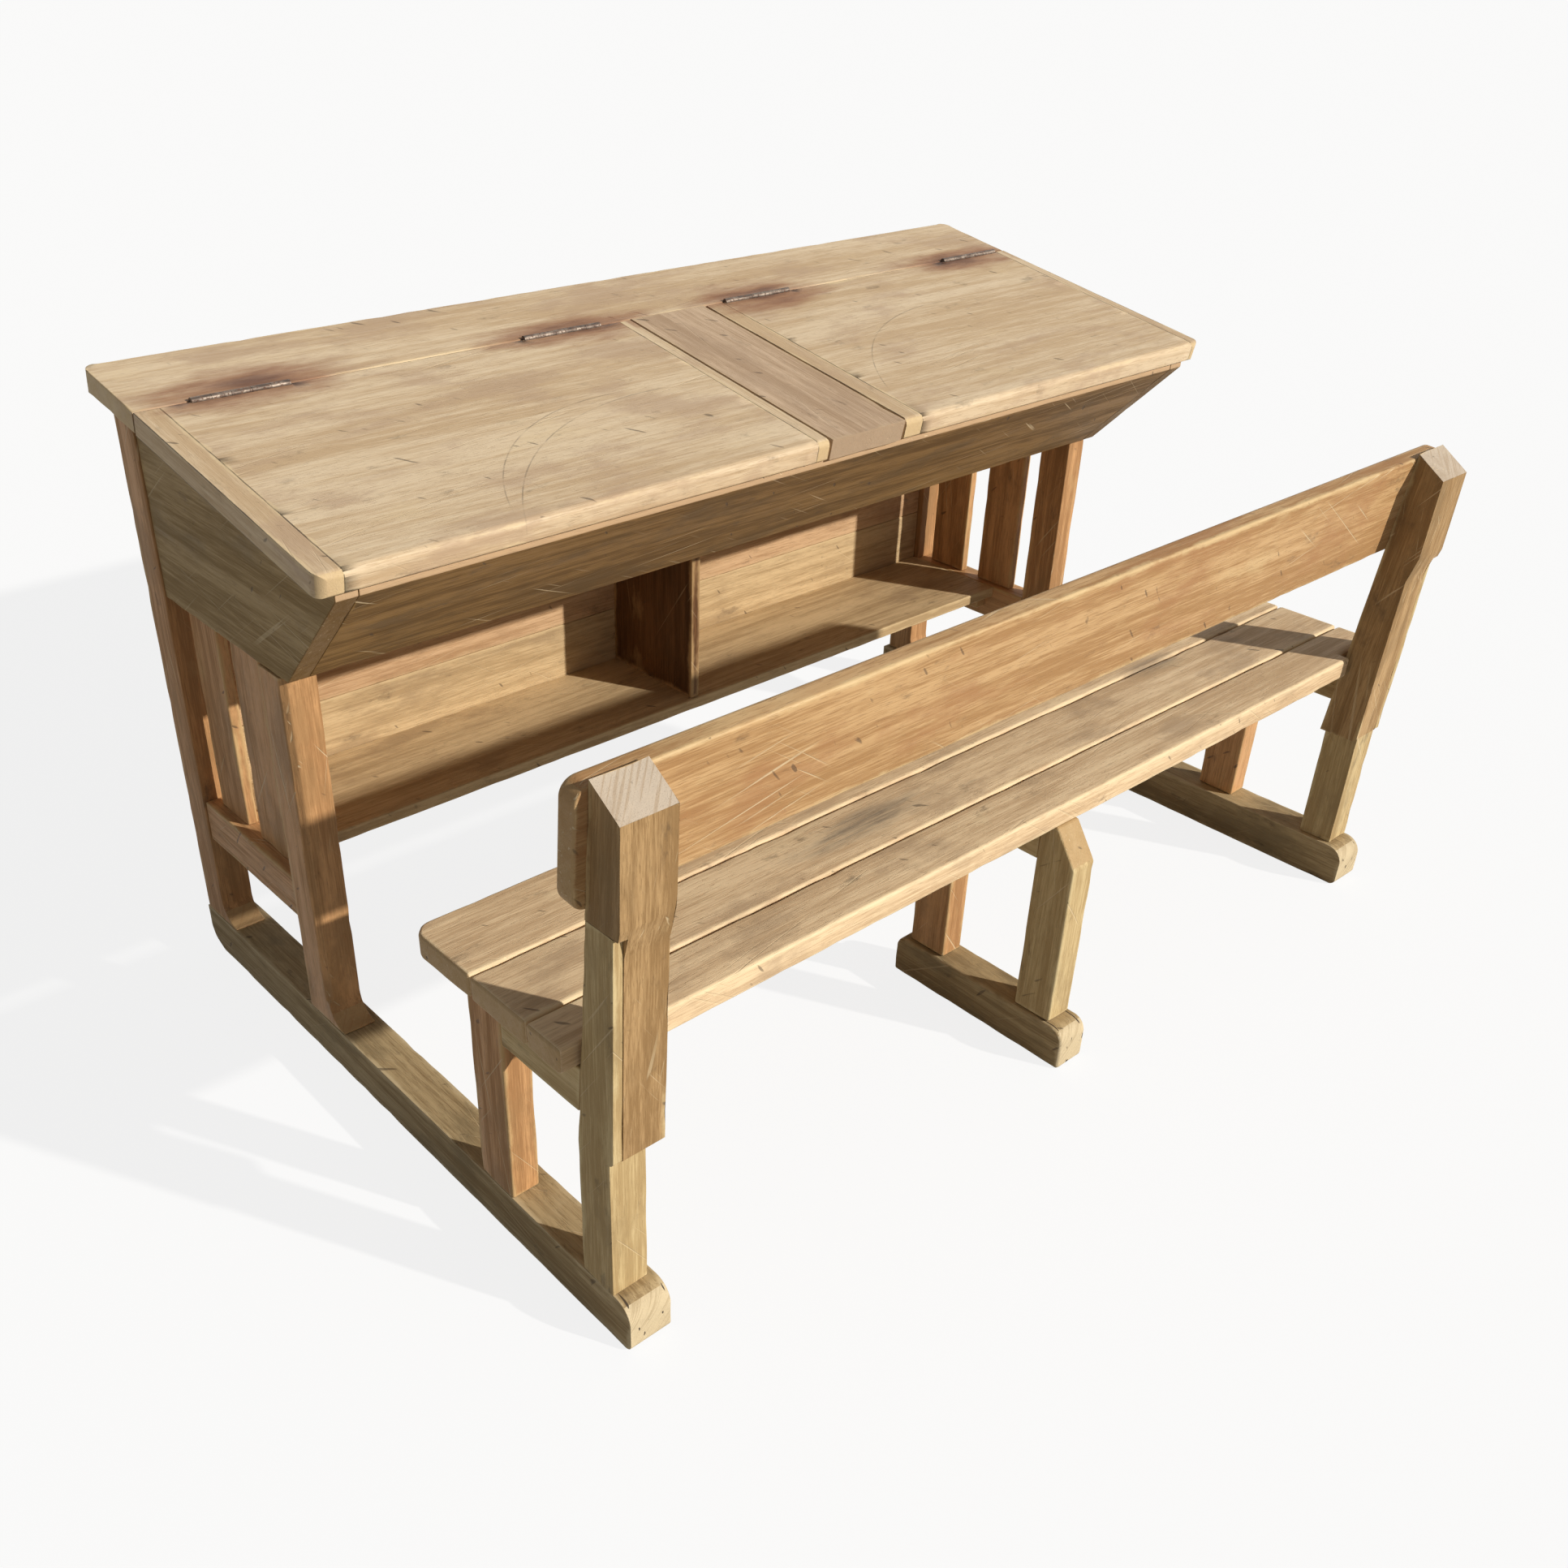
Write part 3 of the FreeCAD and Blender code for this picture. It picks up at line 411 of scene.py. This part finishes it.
FINISHES = {
    "lid": Finish("lid_wood", light=(0.76, 0.60, 0.405), dark=(0.58, 0.415, 0.25), patch=(0.50, 0.35, 0.23),
                  edge=(0.76, 0.59, 0.36), end=(0.66, 0.49, 0.27), contrast=0.9, edge_reach=3, scratches=0.25,
                  seam=0.85, gloss=0.56, soil=0.4, lid=True),
    "bar": Finish("bar_wood", light=(0.63, 0.46, 0.31), dark=(0.44, 0.30, 0.19), patch=(0.44, 0.305, 0.20),
                  edge=(0.56, 0.41, 0.26), end=(0.42, 0.31, 0.21), scratches=0.2),
    "apron": Finish("apron_wood", light=(0.30, 0.165, 0.045), dark=(0.15, 0.078, 0.02),
                    patch=(0.12, 0.068, 0.02), edge=(0.33, 0.19, 0.06), end=(0.20, 0.115, 0.04), contrast=1.3,
                    edge_reach=2, scratches=0.8, gloss=0.62),
    "panel": Finish("panel_wood", light=(0.41, 0.275, 0.115), dark=(0.25, 0.16, 0.062),
                    patch=(0.22, 0.145, 0.06), edge=(0.34, 0.22, 0.09), end=(0.17, 0.09, 0.026),
                    edge_reach=2),
    "post": Finish("post_wood", light=(0.64, 0.355, 0.16), dark=(0.38, 0.195, 0.08),
                   patch=(0.32, 0.18, 0.076), edge=(0.62, 0.42, 0.20), scratches=0.6, gloss=0.55),
    "leg": Finish("leg_wood", light=(0.66, 0.50, 0.26), dark=(0.45, 0.31, 0.145), patch=(0.36, 0.25, 0.12),
                  edge=(0.70, 0.56, 0.31), scratches=0.5),
    "support": Finish("support_wood", light=(0.49, 0.31, 0.145), dark=(0.29, 0.17, 0.07),
                      patch=(0.26, 0.165, 0.075), edge=(0.62, 0.46, 0.24), end=(0.60, 0.51, 0.41),
                      scratches=0.6),
    "runner": Finish("runner_wood", light=(0.50, 0.37, 0.20), dark=(0.30, 0.205, 0.10),
                     patch=(0.23, 0.17, 0.09), edge=(0.64, 0.51, 0.31), end=(0.70, 0.57, 0.37),
                     end_splits=0.95, gloss=0.7, soil=0.6),
    "inner": Finish("inner_wood", light=(0.62, 0.405, 0.23), dark=(0.42, 0.25, 0.125),
                    patch=(0.38, 0.225, 0.12), edge=(0.56, 0.38, 0.21), scratches=0.3, seam=0.8, gloss=0.64),
    # The shelf divider's near-black colours are painted shade, and its wide light edge is a painted highlight
    # of its lit front edge
    "divider": Finish("divider_painted_shade", light=(0.15, 0.066, 0.023), dark=(0.08, 0.033, 0.011),
                      patch=(0.075, 0.033, 0.012), edge=(0.50, 0.32, 0.15), edge_reach=7, scratches=0.3),
    "shelf": Finish("shelf_wood", light=(0.62, 0.45, 0.25), dark=(0.42, 0.285, 0.145),
                    patch=(0.34, 0.23, 0.125), edge=(0.60, 0.44, 0.24), scratches=0.3, gloss=0.66),
    "seat": Finish("seat_wood", light=(0.85, 0.64, 0.40), dark=(0.60, 0.41, 0.235), patch=(0.46, 0.32, 0.195),
                   edge=(0.86, 0.68, 0.42), soil=0.6, gloss=0.56, seat=True),
    "rest": Finish("backrest_wood", light=(0.61, 0.385, 0.185), dark=(0.40, 0.22, 0.09),
                   patch=(0.40, 0.20, 0.085), edge=(0.72, 0.53, 0.28), contrast=1.2, scratches=0.7,
                   gloss=0.52),
}
WOODS = {kind: wood(finish) for kind, finish in FINISHES.items()}
STEEL = aged_steel("hinge_steel", (0.24, 0.19, 0.15), (0.09, 0.065, 0.05), (0.13, 0.06, 0.035))

SIDES = ("left", "right")


def both(*names):
    return [f"{side}_{name}" for side in SIDES for name in names]


# Boards by finish, way of the grain, slope, and rounding of the edges in millimetres
BOARD_SETS = (
    ("lid", ALONG_X, TOP_SLOPE, 0, both("lid_panel")),
    ("lid", ALONG_X, TOP_SLOPE, 1.5, ["back_strip"]),
    ("lid", ALONG_Y, TOP_SLOPE, 0.5, both("lid_batten_outer", "lid_batten_inner")),
    ("bar", ALONG_Y, TOP_SLOPE, 1.6, ["centre_bar"]),
    ("apron", ALONG_X, APRON_LEAN, 1.4, ["apron"]),
    ("post", UPRIGHT, 0, 2.2, both("back_post", "front_post", "slat_back", "slat_front")),
    ("post", ALONG_Y, 0, 1.8, both("rail", "shelf_cleat")),
    ("panel", ALONG_Y, 0, 1.8, both("side_panel")),
    ("runner", ALONG_Y, 0, 4.0, both("runner") + ["middle_foot"]),
    ("post", UPRIGHT, 0, 2.6, both("bench_front_leg") + ["middle_bench_front_leg"]),
    ("leg", UPRIGHT, 0, 2.6, both("bench_rear_leg") + ["middle_bench_rear_leg"]),
    ("support", UPRIGHT, BACK_LEAN, 3.2, both("back_support")),
    ("leg", ALONG_Y, 0, 2.0, both("seat_bearer") + ["middle_seat_bearer"]),
    ("seat", ALONG_X, 0, 3.6, ["seat_slat_front", "seat_slat_middle", "seat_slat_rear"]),
    ("rest", ALONG_X, BACK_LEAN, 3.0, ["backrest"]),
    ("inner", ALONG_X, 0, 1.6, ["back_board_upper", "box_back", "box_bottom"]),
    ("inner", UPRIGHT, 0, 1.4, ["box_partition"]),
    ("divider", UPRIGHT, 0, 1.4, ["shelf_divider"]),
    ("shelf", ALONG_X, 0, 1.6, ["shelf", "back_board_lower"]),
)
# Boards whose short edges, in the hinges' notches, stay square, and boards whose front faces get a painted
# highlight
NOTCHED = ["back_strip"]
NOTCHED_EDGE = 40 * MM
HIGHLIGHT_BOARDS = both("side_panel") + ["apron"]

# How boards are cut up before their edges are rounded, and which edges count as sharp
CUT_STEP = 16 * MM
WELD = 0.02 * MM
EDGE_SEGMENTS = 3
FLAT_ANGLE = math.radians(1)
SHARP_ANGLE = math.radians(25)
CREASE_ANGLE = math.radians(38)

# Nicks along the rounded edges, no deeper than a share of the rounding
NICK_DEPTH = 1.1 * MM
NICK_DEPTH_SHARE = 0.5
NICKS_PER_METRE = 38.0

# How squarely a face looks along the grain to be sawn, and to the front to get the painted highlight
END_GRAIN, HIGHLIGHT_FACING = 0.5, 0.9


def worn_edge_tree():
    """Geometry nodes that nick the rounded edges of a board."""
    tree = bpy.data.node_groups.new("worn_edges", "GeometryNodeTree")
    graph = Graph(tree)
    tree.interface.new_socket("Geometry", in_out="INPUT", socket_type="NodeSocketGeometry")
    for name, kind in (("Nick depth", "NodeSocketFloat"), ("Nicks per metre", "NodeSocketFloat"),
                       ("Seed", "NodeSocketFloat"), ("Finish", "NodeSocketMaterial")):
        tree.interface.new_socket(name, in_out="INPUT", socket_type=kind)
    tree.interface.new_socket("Geometry", in_out="OUTPUT", socket_type="NodeSocketGeometry")
    inputs = graph.add("NodeGroupInput").outputs
    worn = graph.add("GeometryNodeInputNamedAttribute", {"Name": "worn"}, data_type="FLOAT")
    values = {"Scale": inputs["Nicks per metre"], "W": inputs["Seed"], "Detail": 3.0}
    nicks = graph.add("ShaderNodeTexNoise", values, noise_dimensions="4D").outputs["Fac"]
    depth = graph.math("MULTIPLY", graph.ramp(nicks, 0.46, 0.74), inputs["Nick depth"])
    depth = graph.math("MULTIPLY", graph.math("MULTIPLY", depth, worn.outputs["Attribute"]), -1.0)
    normal = graph.add("GeometryNodeInputNormal").outputs["Normal"]
    offset = graph.add("ShaderNodeVectorMath", {0: normal, "Scale": depth}, operation="SCALE").outputs[0]
    moved = graph.add("GeometryNodeSetPosition", {"Geometry": inputs["Geometry"], "Offset": offset})
    real = graph.add("GeometryNodeRealizeInstances", {0: moved.outputs[0]})
    values = {"Geometry": real.outputs[0], "Material": inputs["Finish"]}
    painted = graph.add("GeometryNodeSetMaterial", values)
    graph.add("NodeGroupOutput", {"Geometry": painted.outputs[0]})
    return tree


WORN_EDGES = worn_edge_tree()
WORN_EDGE_INPUTS = {item.name: item.identifier for item in WORN_EDGES.interface.items_tree
                    if item.in_out == "INPUT"}


def cut_in_lengths(shape, low, high):
    """Cut a board into short lengths each way, so that its edges can be nicked."""
    for axis in range(3):
        steps = int((high[axis] - low[axis]) / CUT_STEP)
        for step in range(1, steps):
            point = low.copy()
            point[axis] += (high[axis] - low[axis]) * step / steps
            normal = Vector((0, 0, 0))
            normal[axis] = 1
            everything = shape.verts[:] + shape.edges[:] + shape.faces[:]
            bmesh.ops.bisect_plane(shape, geom=everything, plane_co=point, plane_no=normal, dist=WELD)


def rounded_board(node, radius):
    """The node's board, cut into short lengths, with its sharp edges rounded and marked as worn."""
    shape = bmesh.new()
    shape.from_mesh(frame["nodes"][node].data)
    bmesh.ops.remove_doubles(shape, verts=shape.verts, dist=WELD)
    bmesh.ops.dissolve_limit(shape, angle_limit=FLAT_ANGLE, verts=shape.verts, edges=shape.edges)
    worn = shape.verts.layers.float.new("worn")
    rim = shape.edges.layers.int.new("rim")
    shortest = NOTCHED_EDGE if node in NOTCHED else 0
    for edge in shape.edges:
        sharp = edge.is_manifold and edge.calc_face_angle() > SHARP_ANGLE
        edge[rim] = int(sharp and edge.calc_length() > shortest)
    cut_in_lengths(shape, *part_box(node))
    edges = [edge for edge in shape.edges if edge[rim]]
    if radius:
        result = bmesh.ops.bevel(shape, geom=edges, offset=radius, offset_type="OFFSET",
                                 segments=EDGE_SEGMENTS, profile=0.5, affect="EDGES",
                                 clamp_overlap=node not in NOTCHED)
        for vertex in result["verts"]:
            vertex[worn] = 1
    mesh = bpy.data.meshes.new(node + "_shape")
    shape.to_mesh(mesh)
    shape.free()
    for polygon in mesh.polygons:
        polygon.use_smooth = True
    mesh.set_sharp_from_angle(angle=CREASE_ANGLE)
    return mesh


def evaluated(name, mesh, modifiers):
    """A plain mesh made from a mesh and a list of functions that each add a modifier."""
    draft = bpy.data.objects.new(name + "_draft", mesh)
    bpy.context.scene.collection.objects.link(draft)
    for add_modifier in modifiers:
        add_modifier(draft)
    bpy.context.view_layer.update()
    graph = bpy.context.evaluated_depsgraph_get()
    finished = bpy.data.meshes.new_from_object(draft.evaluated_get(graph))
    bpy.data.objects.remove(draft)
    return finished


def note_grain(mesh, axis, slope, chance, highlight_lips):
    """Write each point's place on its board, the board's extent and a chance offset, and each face's kind.

    The way of the grain comes first and the thickness of the board last.
    """
    square = Matrix.Rotation(-math.radians(slope), 3, "X")
    places = [square @ vertex.co for vertex in mesh.vertices]
    low = [min(place[way] for place in places) for way in range(3)]
    high = [max(place[way] for place in places) for way in range(3)]
    order = sorted(range(3), key=lambda way: (way != axis, low[way] - high[way]))
    extent = [high[way] - low[way] for way in order]
    seed = [chance.uniform(0, 40) for way in order]
    values = {"place": [], "extent": extent * len(places), "seed": seed * len(places)}
    for place in places:
        values["place"] += [place[way] - low[way] for way in order]
    for name, numbers in values.items():
        mesh.attributes.new(name, "FLOAT_VECTOR", "POINT").data.foreach_set("vector", numbers)
    normals = [square @ polygon.normal for polygon in mesh.polygons]
    kinds = {"sawn": [abs(normal[axis]) > END_GRAIN for normal in normals],
             "narrow": [abs(normal[order[1]]) > abs(normal[order[2]]) for normal in normals],
             # Front faces of the lipped boards are marked for the painted highlight
             "painted_highlight": [highlight_lips and -polygon.normal.y > HIGHLIGHT_FACING for polygon in mesh.polygons]}
    for name, faces in kinds.items():
        mesh.attributes.new(name, "FLOAT", "FACE").data.foreach_set("value", [float(face) for face in faces])


def lay_board(node, finish, axis, slope, radius):
    """Replace a node with its worn board."""
    chance = random.Random(node)

    def nick(draft):
        modifier = draft.modifiers.new("worn_edges", "NODES")
        modifier.node_group = WORN_EDGES
        modifier[WORN_EDGE_INPUTS["Nick depth"]] = min(NICK_DEPTH, radius * MM * NICK_DEPTH_SHARE)
        modifier[WORN_EDGE_INPUTS["Nicks per metre"]] = NICKS_PER_METRE
        modifier[WORN_EDGE_INPUTS["Seed"]] = chance.uniform(0, 100)
        modifier[WORN_EDGE_INPUTS["Finish"]] = WOODS[finish]

    def ease_normals(draft):
        draft.modifiers.new("even_faces", "WEIGHTED_NORMAL").keep_sharp = True

    mesh = evaluated(node, rounded_board(node, radius * MM), (nick, ease_normals))
    mesh.attributes.remove(mesh.attributes["worn"])
    note_grain(mesh, axis, slope, chance, node in HIGHLIGHT_BOARDS)
    board = bpy.data.objects.new("worn_" + node, mesh)
    bpy.context.scene.collection.objects.link(board)
    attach(board, frame["nodes"][node]["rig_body"])
    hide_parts(node)


for finish, axis, slope, radius, names in BOARD_SETS:
    for name in names:
        lay_board(name, finish, axis, slope, radius)

for name, item in frame["nodes"].items():
    if "hinge" in name or "screws" in name:
        item.data.materials.clear()
        item.data.materials.append(STEEL)

# The studio: a floor and a sky that look white but throw little light back, and one low sun
FLOOR_HALF = 30
FLOOR_GLOW = 0.84
SKY_LIGHT, SKY_SEEN = 0.19, 0.955
SUN_WAY = (-0.42, 0.80, -0.445)
SUN_STRENGTH, SUN_ANGLE, SUN_COLOUR = 4.0, math.radians(1.2), (1.0, 0.965, 0.90)


def seen_directly(graph):
    """1 for what the camera sees, itself or mirrored, and 0 for light on its way."""
    rays = graph.add("ShaderNodeLightPath").outputs
    return graph.math("MAXIMUM", rays["Is Camera Ray"], rays["Is Glossy Ray"])


def lay_floor():
    corners = [(-1, -1), (1, -1), (1, 1), (-1, 1)]
    mesh = bpy.data.meshes.new("floor")
    mesh.from_pydata([(x * FLOOR_HALF, y * FLOOR_HALF, 0) for x, y in corners], [], [(0, 1, 2, 3)])
    floor = bpy.data.objects.new("floor", mesh)
    bpy.context.scene.collection.objects.link(floor)
    material, graph = new_material("pale_floor")
    matt = graph.add("ShaderNodeBsdfDiffuse", {"Color": (0.5, 0.5, 0.48, 1)}).outputs[0]
    paper = graph.add("ShaderNodeBsdfDiffuse", {"Color": (0.95, 0.95, 0.95, 1)}).outputs[0]
    white = graph.add("ShaderNodeEmission", {"Color": (1, 1, 1, 1), "Strength": 1.0}).outputs[0]
    shown = graph.add("ShaderNodeMixShader", {0: FLOOR_GLOW, 1: paper, 2: white}).outputs[0]
    ground = graph.add("ShaderNodeMixShader", {0: seen_directly(graph), 1: matt, 2: shown}).outputs[0]
    graph.add("ShaderNodeOutputMaterial", {"Surface": ground})
    mesh.materials.append(material)


def light_studio():
    world = bpy.data.worlds.new("studio")
    bpy.context.scene.world = world
    world.use_nodes = True
    graph = Graph(world.node_tree)
    strength = graph.ramp(seen_directly(graph), 0, 1, SKY_LIGHT, SKY_SEEN)
    sky = graph.add("ShaderNodeBackground", {"Color": (1, 1, 1, 1), "Strength": strength})
    graph.add("ShaderNodeOutputWorld", {"Surface": sky.outputs[0]})
    sun = bpy.data.lights.new("sun", "SUN")
    sun.energy = SUN_STRENGTH
    sun.angle = SUN_ANGLE
    sun.color = SUN_COLOUR
    item = bpy.data.objects.new("sun", sun)
    item.rotation_euler = (-Vector(SUN_WAY)).to_track_quat("Z", "Y").to_euler()
    bpy.context.scene.collection.objects.link(item)


# The photograph's view: place in metres, angles in degrees
CAMERA_PLACE = (-1.1096, -1.0837, 1.0466)
CAMERA_TURN, CAMERA_DIP, CAMERA_ROLL = 41.37, 32.71, 0.95
CAMERA_LENS, CAMERA_SENSOR, CAMERA_SHIFT = 35.07, 36, (0.0478, 0.0515)


def set_camera():
    camera = bpy.data.cameras.new("camera")
    camera.sensor_width = CAMERA_SENSOR
    camera.lens = CAMERA_LENS
    camera.shift_x, camera.shift_y = CAMERA_SHIFT
    item = bpy.data.objects.new("camera", camera)
    turn = Matrix.Rotation(-math.radians(CAMERA_TURN), 4, "Z")
    dip = Matrix.Rotation(math.radians(90 - CAMERA_DIP), 4, "X")
    roll = Matrix.Rotation(math.radians(CAMERA_ROLL), 4, "Z")
    item.matrix_world = Matrix.Translation(CAMERA_PLACE) @ turn @ dip @ roll
    bpy.context.scene.collection.objects.link(item)
    bpy.context.scene.camera = item
    bpy.context.scene.view_settings.view_transform = "Standard"


lay_floor()
light_studio()
set_camera()
